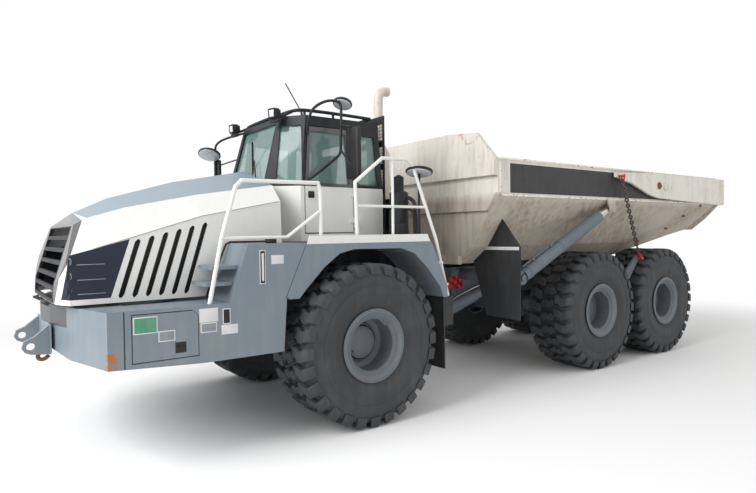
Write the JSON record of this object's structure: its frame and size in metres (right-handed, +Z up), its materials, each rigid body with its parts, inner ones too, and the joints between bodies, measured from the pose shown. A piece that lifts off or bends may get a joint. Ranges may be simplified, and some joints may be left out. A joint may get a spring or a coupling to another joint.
{
  "type": "articulated dump truck",
  "caption": "Articulated dump truck with a steering hitch, driven rear axles on walking beams, an opening hood and door, and a tipping body with a linked tailgate",
  "frame": {"origin": "centre of the bounding box's bottom face, on the ground", "axes": "+X points forward, +Y to the truck's left, +Z up"},
  "size_m": [11.96, 3.5254, 4.2264],
  "materials": {
    "chassis_paint": "satin blue-grey paint",
    "white_paint": "satin white paint",
    "body_paint": "worn cream paint",
    "black_paint": "satin black paint",
    "hood_top_paint": "satin blue-grey paint",
    "tyre": "dusty rubber",
    "rubber": "matt rubber",
    "glass": "green tinted glass",
    "lamp_glass": "smoked cover",
    "steel": "bare steel",
    "cast": "painted casting",
    "trim": "black plastic",
    "fabric": "dark cloth"
  },
  "bodies": {
    "front": {"front_frame": "chassis_paint", "front_bumper": "chassis_paint", "toolbox_lids": "chassis_paint", "tow_lugs": "chassis_paint", "engine_block": "cast", "radiator": "black_paint", "fenders": "chassis_paint", "side_tanks": "chassis_paint", "steps": "black_paint", "front_mudflaps": "rubber", "cab_shell": "white_paint", "cab_frame": "black_paint", "cab_glass": "glass", "seat": "fabric", "dashboard": "trim", "roof_rack": "black_paint", "handrails": "white_paint", "mirrors": "trim", "exhaust": "steel", "rear_deck": "black_paint", "cab_mounts": "black_paint", "front_axle": "chassis_paint", "front_suspension": "chassis_paint"},
    "hood": {"hood_shell": "white_paint", "hood_top": "hood_top_paint", "grille": "trim", "headlamps": "lamp_glass"},
    "cab_door": {"cab_door": "white_paint", "door_glass": "glass"},
    "yoke": {"hitch_yoke": "chassis_paint"},
    "rear": {"rear_frame": "chassis_paint", "drive_axles": "chassis_paint", "walking_beams": "chassis_paint"},
    "dump_body": {"dump_body": "body_paint", "body_mudguards": "rubber"},
    "tailgate": {"tailgate": "body_paint"},
    "chain_left": {"chain_left": "cast"},
    "hoist_barrel_left": {"hoist_barrel_left": "chassis_paint"},
    "hoist_stage_left": {"hoist_stage_left": "steel"},
    "hoist_rod_left": {"hoist_rod_left": "steel"},
    "steer_barrel_left": {"steer_barrel_left": "chassis_paint"},
    "steer_rod_left": {"steer_rod_left": "steel"},
    "chain_right": {"chain_right": "cast"},
    "hoist_barrel_right": {"hoist_barrel_right": "chassis_paint"},
    "hoist_stage_right": {"hoist_stage_right": "steel"},
    "hoist_rod_right": {"hoist_rod_right": "steel"},
    "steer_barrel_right": {"steer_barrel_right": "chassis_paint"},
    "steer_rod_right": {"steer_rod_right": "steel"},
    "wheel_front_left": {"tyre_front_left": "tyre", "rim_front_left": "chassis_paint"},
    "wheel_front_right": {"tyre_front_right": "tyre", "rim_front_right": "chassis_paint"},
    "wheel_mid_left": {"tyre_mid_left": "tyre", "rim_mid_left": "chassis_paint"},
    "wheel_mid_right": {"tyre_mid_right": "tyre", "rim_mid_right": "chassis_paint"},
    "wheel_rear_left": {"tyre_rear_left": "tyre", "rim_rear_left": "chassis_paint"},
    "wheel_rear_right": {"tyre_rear_right": "tyre", "rim_rear_right": "chassis_paint"}
  },
  "joints": [
    {"name": "hood_hinge", "type": "hinge", "parent": "front", "child": "hood", "pos_m": [5.79, 0, 1.545], "axis": [0, 1, 0], "range_deg": [0, 60]},
    {"name": "door_hinge", "type": "hinge", "parent": "front", "child": "cab_door", "pos_m": [2.4, 0.875, 2.8], "axis": [0, 0, 1], "range_deg": [0, 55]},
    {"name": "roll_hinge", "type": "hinge", "parent": "front", "child": "yoke", "pos_m": [1.9, 0, 1.15], "axis": [1, 0, 0], "range_deg": [-12, 12]},
    {"name": "articulation", "type": "hinge", "parent": "yoke", "child": "rear", "pos_m": [1.496, 0, 1.15], "axis": [0, 0, 1], "range_deg": [-40, 40]},
    {"name": "dump_hinge", "type": "hinge", "parent": "rear", "child": "dump_body", "pos_m": [-4.35, 0, 1.5], "axis": [0, -1, 0], "range_deg": [0, 65]},
    {"name": "tailgate_hinge", "type": "hinge", "parent": "dump_body", "child": "tailgate", "pos_m": [-3.716, 0, 2.938], "axis": [0, 1, 0], "range_deg": [0, 57]},
    {"name": "chain_pin_left", "type": "hinge", "parent": "rear", "child": "chain_left", "pos_m": [-3.063, 1.56, 1.7], "axis": [0, -1, 0], "range_deg": [0, 65.5]},
    {"name": "hoist_pin_left", "type": "hinge", "parent": "rear", "child": "hoist_barrel_left", "pos_m": [0.08, 1.565, 1.535], "axis": [0, -1, 0], "range_deg": [-5, 1]},
    {"name": "hoist_stage_slide_left", "type": "slide", "parent": "hoist_barrel_left", "child": "hoist_stage_left", "axis": [-0.9086, 0, 0.4177], "range_m": [0, 1.32]},
    {"name": "hoist_rod_slide_left", "type": "slide", "parent": "hoist_stage_left", "child": "hoist_rod_left", "axis": [-0.9086, 0, 0.4177], "range_m": [0, 1.36]},
    {"name": "steer_pin_left", "type": "hinge", "parent": "rear", "child": "steer_barrel_left", "pos_m": [-0.4, 0.62, 1.33], "axis": [0, -0.7219, 0.692], "range_deg": [-5, 5]},
    {"name": "steer_slide_left", "type": "slide", "parent": "steer_barrel_left", "child": "steer_rod_left", "axis": [0.962, 0, -0.2732], "range_m": [-0.38, 0.38]},
    {"name": "chain_pin_right", "type": "hinge", "parent": "rear", "child": "chain_right", "pos_m": [-3.063, -1.56, 1.7], "axis": [0, -1, 0], "range_deg": [0, 65.5]},
    {"name": "hoist_pin_right", "type": "hinge", "parent": "rear", "child": "hoist_barrel_right", "pos_m": [0.08, -1.565, 1.535], "axis": [0, -1, 0], "range_deg": [-5, 1]},
    {"name": "hoist_stage_slide_right", "type": "slide", "parent": "hoist_barrel_right", "child": "hoist_stage_right", "axis": [-0.9086, 0, 0.4177], "range_m": [0, 1.32]},
    {"name": "hoist_rod_slide_right", "type": "slide", "parent": "hoist_stage_right", "child": "hoist_rod_right", "axis": [-0.9086, 0, 0.4177], "range_m": [0, 1.36]},
    {"name": "steer_pin_right", "type": "hinge", "parent": "rear", "child": "steer_barrel_right", "pos_m": [-0.4, -0.62, 1.33], "axis": [0, 0.7219, 0.692], "range_deg": [-5, 5]},
    {"name": "steer_slide_right", "type": "slide", "parent": "steer_barrel_right", "child": "steer_rod_right", "axis": [0.962, 0, -0.2732], "range_m": [-0.38, 0.38]},
    {"name": "wheel_front_left_spin", "type": "hinge", "parent": "front", "child": "wheel_front_left", "pos_m": [2.7, 1.33, 0.925], "axis": [0, 1, 0], "continuous": true},
    {"name": "wheel_front_right_spin", "type": "hinge", "parent": "front", "child": "wheel_front_right", "pos_m": [2.7, -1.33, 0.925], "axis": [0, 1, 0], "continuous": true},
    {"name": "wheel_mid_left_spin", "type": "hinge", "parent": "rear", "child": "wheel_mid_left", "pos_m": [-1.733, 1.33, 0.925], "axis": [0, 1, 0], "continuous": true},
    {"name": "wheel_mid_right_spin", "type": "hinge", "parent": "rear", "child": "wheel_mid_right", "pos_m": [-1.733, -1.33, 0.925], "axis": [0, 1, 0], "continuous": true},
    {"name": "wheel_rear_left_spin", "type": "hinge", "parent": "rear", "child": "wheel_rear_left", "pos_m": [-3.708, 1.33, 0.925], "axis": [0, 1, 0], "continuous": true},
    {"name": "wheel_rear_right_spin", "type": "hinge", "parent": "rear", "child": "wheel_rear_right", "pos_m": [-3.708, -1.33, 0.925], "axis": [0, 1, 0], "continuous": true}
  ],
  "couplings": [
    {"joint": "tailgate_hinge", "follows": "dump_hinge", "ratio": 0.8651},
    {"joint": "chain_pin_left", "follows": "dump_hinge", "ratio": 0.9949},
    {"joint": "hoist_pin_left", "follows": "dump_hinge", "ratio": -0.0622},
    {"joint": "hoist_stage_slide_left", "follows": "dump_hinge", "m_per_rad": 1.1459},
    {"joint": "hoist_rod_slide_left", "follows": "dump_hinge", "m_per_rad": 1.1792},
    {"joint": "steer_pin_left", "follows": "articulation", "ratio": 0.1136},
    {"joint": "steer_slide_left", "follows": "articulation", "m_per_rad": 0.5394},
    {"joint": "chain_pin_right", "follows": "dump_hinge", "ratio": 0.9949},
    {"joint": "hoist_pin_right", "follows": "dump_hinge", "ratio": -0.0622},
    {"joint": "hoist_stage_slide_right", "follows": "dump_hinge", "m_per_rad": 1.1459},
    {"joint": "hoist_rod_slide_right", "follows": "dump_hinge", "m_per_rad": 1.1792},
    {"joint": "steer_pin_right", "follows": "articulation", "ratio": 0.1136},
    {"joint": "steer_slide_right", "follows": "articulation", "m_per_rad": -0.5394}
  ]
}
